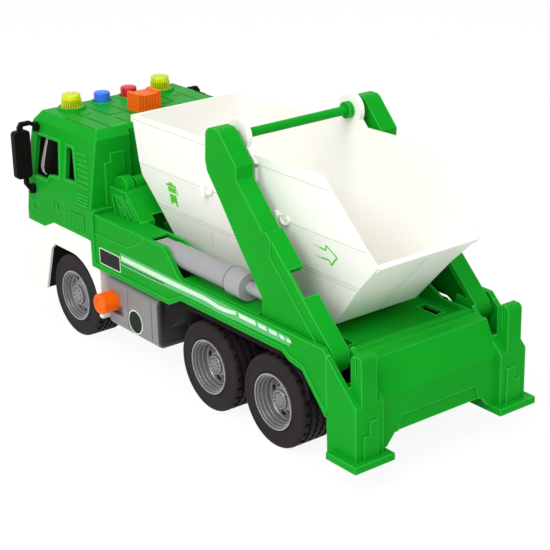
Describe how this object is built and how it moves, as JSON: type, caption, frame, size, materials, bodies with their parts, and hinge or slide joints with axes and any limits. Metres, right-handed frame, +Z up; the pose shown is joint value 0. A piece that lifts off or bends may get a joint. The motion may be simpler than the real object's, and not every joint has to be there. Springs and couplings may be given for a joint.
{
  "type": "toy skip loader garbage truck",
  "caption": "Plastic toy skip loader: cab, deck and wheels, with an open container hung on a bar between two swinging arms worked by cylinders.",
  "frame": {"origin": "on the ground under the middle of the truck's bounding box", "axes": "+Z up, the cab faces -Y, +X to the truck's left side"},
  "size_m": [0.1452, 0.3364, 0.1685],
  "materials": {
    "green": "glossy moulded plastic, light sheen",
    "white": "glossy moulded plastic",
    "skip": "satin moulded plastic",
    "grey": "satin moulded plastic",
    "rim": "satin moulded plastic",
    "dark": "satin moulded plastic",
    "tyre": "matt moulded tyre",
    "smoked": "glossy smoked plastic",
    "yellow": "clear tinted plastic",
    "blue": "glossy plastic",
    "red": "glossy plastic",
    "orange": "glossy plastic",
    "lens": "clear plastic lens",
    "steel": "drawn steel wire"
  },
  "bodies": {
    "truck": {"chassis": "dark", "deck": "green", "rear_panel": "green", "headboard": "green", "cab_shell": "green", "cab_glazing": "smoked", "cab_lower": "white", "grille": "dark", "headlamps": "lens", "button_square": "orange", "lever_knob": "orange", "button_blue": "blue", "button_red": "red", "skirt_left": "green", "trough_wall_left": "green", "stabiliser_left": "green", "mirror_left": "dark", "beacon_left": "yellow", "side_tank_left": "grey", "mudguard_left": "dark", "skirt_right": "green", "trough_wall_right": "green", "stabiliser_right": "green", "mirror_right": "dark", "beacon_right": "yellow", "side_tank_right": "grey", "mudguard_right": "dark"},
    "front_wheels": {"axle_front": "steel", "rim_front_left": "rim", "rim_front_right": "rim", "tyre_front_left": "tyre", "tyre_front_right": "tyre"},
    "middle_wheels": {"axle_middle": "steel", "rim_middle_left": "rim", "rim_middle_right": "rim", "tyre_middle_left": "tyre", "tyre_middle_right": "tyre"},
    "rear_wheels": {"axle_rear": "steel", "rim_rear_left": "rim", "rim_rear_right": "rim", "tyre_rear_left": "tyre", "tyre_rear_right": "tyre"},
    "arms": {"arm_left": "green", "arm_right": "green", "lift_bar": "green"},
    "skip_container": {"container": "skip"},
    "cylinder_left": {"barrel_left": "grey"},
    "piston_left": {"rod_left": "grey"},
    "cylinder_right": {"barrel_right": "grey"},
    "piston_right": {"rod_right": "grey"}
  },
  "joints": [
    {"name": "front_wheels_roll", "type": "hinge", "parent": "truck", "child": "front_wheels", "pos_m": [0, -0.1064, 0.0263], "axis": [1, 0, 0], "continuous": true},
    {"name": "middle_wheels_roll", "type": "hinge", "parent": "truck", "child": "middle_wheels", "pos_m": [0, 0.0356, 0.0263], "axis": [1, 0, 0], "continuous": true},
    {"name": "rear_wheels_roll", "type": "hinge", "parent": "truck", "child": "rear_wheels", "pos_m": [0, 0.0944, 0.0263], "axis": [1, 0, 0], "continuous": true},
    {"name": "arms_swing", "type": "hinge", "parent": "truck", "child": "arms", "pos_m": [0, 0.1328, 0.0636], "axis": [-1, 0, 0], "range_deg": [0, 80]},
    {"name": "container_level", "type": "hinge", "parent": "arms", "child": "skip_container", "pos_m": [0, 0.045, 0.1591], "axis": [1, 0, 0], "range_deg": [0, 80]},
    {"name": "cylinder_left_tilt", "type": "hinge", "parent": "truck", "child": "cylinder_left", "pos_m": [0.05, -0.018, 0.081], "axis": [1, 0, 0], "range_deg": [0, 6.3]},
    {"name": "rod_left_slide", "type": "slide", "parent": "cylinder_left", "child": "piston_left", "axis": [0, 1, 0], "range_m": [0, 0.0388]},
    {"name": "cylinder_right_tilt", "type": "hinge", "parent": "truck", "child": "cylinder_right", "pos_m": [-0.05, -0.018, 0.081], "axis": [1, 0, 0], "range_deg": [0, 6.3]},
    {"name": "rod_right_slide", "type": "slide", "parent": "cylinder_right", "child": "piston_right", "axis": [0, 1, 0], "range_m": [0, 0.0388]}
  ],
  "couplings": [
    {"joint": "container_level", "follows": "arms_swing", "ratio": 1},
    {"joint": "cylinder_left_tilt", "follows": "arms_swing", "ratio": 0.078},
    {"joint": "rod_left_slide", "follows": "arms_swing", "m_per_rad": 0.02775},
    {"joint": "cylinder_right_tilt", "follows": "arms_swing", "ratio": 0.078},
    {"joint": "rod_right_slide", "follows": "arms_swing", "m_per_rad": 0.02775}
  ]
}
